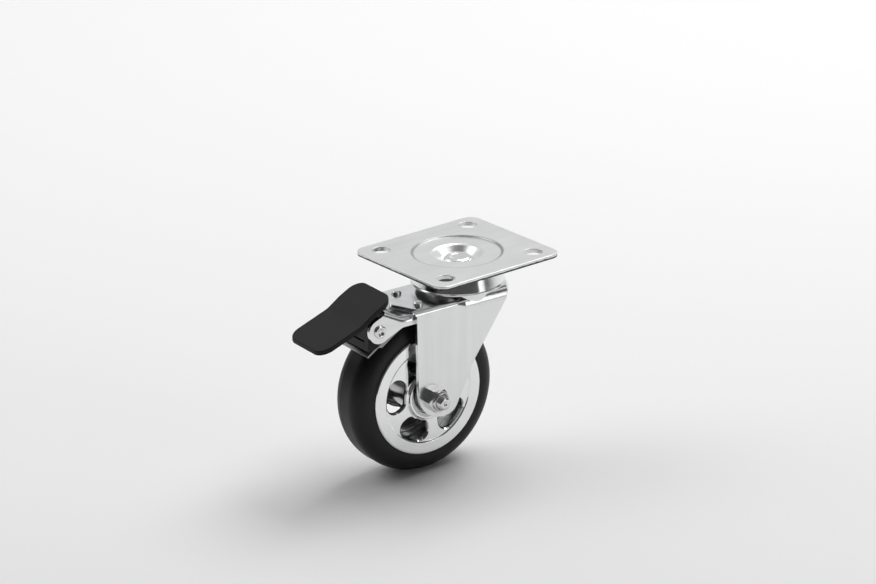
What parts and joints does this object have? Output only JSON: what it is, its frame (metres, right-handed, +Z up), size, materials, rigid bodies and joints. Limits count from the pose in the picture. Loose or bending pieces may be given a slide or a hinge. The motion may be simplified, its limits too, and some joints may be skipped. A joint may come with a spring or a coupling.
{
  "type": "swivel castor",
  "caption": "Plate-mounted swivel castor with a ball-race head, a pressed steel fork, a rubber tyre on a windowed rim, and a foot pedal that brakes the tread",
  "frame": {"origin": "centre of the mounting plate's top face, on the swivel axis", "axes": "+Z up out of the plate's top face; +X and +Y along the plate's edges; the fork, wheel and brake stand turned -3.68 degrees about Z, with the pedal toward -X"},
  "size_m": [0.1548, 0.085, 0.1289],
  "materials": {
    "plated_steel": "bright zinc or nickel plate over pressed steel, near mirror",
    "bright_steel": "bright plated turned and headed steel",
    "bearing_steel": "ground steel",
    "black_rubber": "satin black rubber",
    "black_nylon": "fine-grained black moulding"
  },
  "bodies": {
    "plate": {"top_plate": "plated_steel", "race_housing": "plated_steel", "kingpin": "bright_steel", "lower_race": "bearing_steel"},
    "head_balls": {"upper_balls": "bearing_steel", "lower_balls": "bearing_steel"},
    "swivel_fork": {"fork": "plated_steel", "axle_bolt": "bright_steel", "axle_nut": "bright_steel", "axle_collars": "bright_steel", "spacer_sleeve": "bearing_steel", "bearing_inner_ring_near": "bearing_steel", "bearing_inner_ring_far": "bearing_steel", "brake_bracket": "plated_steel", "bracket_rivets": "bright_steel", "pedal_pin": "bright_steel"},
    "wheel": {"tyre": "black_rubber", "rim_disc_near": "plated_steel", "rim_disc_far": "plated_steel", "hub_tube": "bearing_steel", "bearing_outer_ring_near": "bearing_steel", "bearing_outer_ring_far": "bearing_steel", "bearing_shields": "bearing_steel"},
    "wheel_balls": {"bearing_balls": "bearing_steel"},
    "pedal": {"pedal": "black_nylon"},
    "brake_shoe": {"brake_shoe": "plated_steel"}
  },
  "joints": [
    {"name": "swivel", "type": "hinge", "parent": "plate", "child": "swivel_fork", "pos_m": [0, 0, -0.012], "axis": [0, 0, 1], "continuous": true},
    {"name": "head_balls_roll", "type": "hinge", "parent": "plate", "child": "head_balls", "pos_m": [0, 0, -0.012], "axis": [0, 0, 1], "continuous": true},
    {"name": "wheel_spin", "type": "hinge", "parent": "swivel_fork", "child": "wheel", "pos_m": [-0.03293, 0.00212, -0.0789], "axis": [0.0642, 0.9979, 0], "continuous": true},
    {"name": "wheel_balls_roll", "type": "hinge", "parent": "swivel_fork", "child": "wheel_balls", "pos_m": [-0.03293, 0.00212, -0.0789], "axis": [0.0642, 0.9979, 0], "continuous": true},
    {"name": "pedal_press", "type": "hinge", "parent": "swivel_fork", "child": "pedal", "pos_m": [-0.06821, 0.00439, -0.0289], "axis": [-0.0642, -0.9979, 0], "range_deg": [0, 15]},
    {"name": "shoe_rock", "type": "hinge", "parent": "swivel_fork", "child": "brake_shoe", "pos_m": [-0.03632, 0.00234, -0.02725], "axis": [-0.0642, -0.9979, 0], "range_deg": [0, 2.1]}
  ],
  "couplings": [
    {"joint": "head_balls_roll", "follows": "swivel", "ratio": 0.5},
    {"joint": "wheel_balls_roll", "follows": "wheel_spin", "ratio": 0.63233},
    {"joint": "shoe_rock", "follows": "pedal_press", "ratio": 0.14}
  ]
}
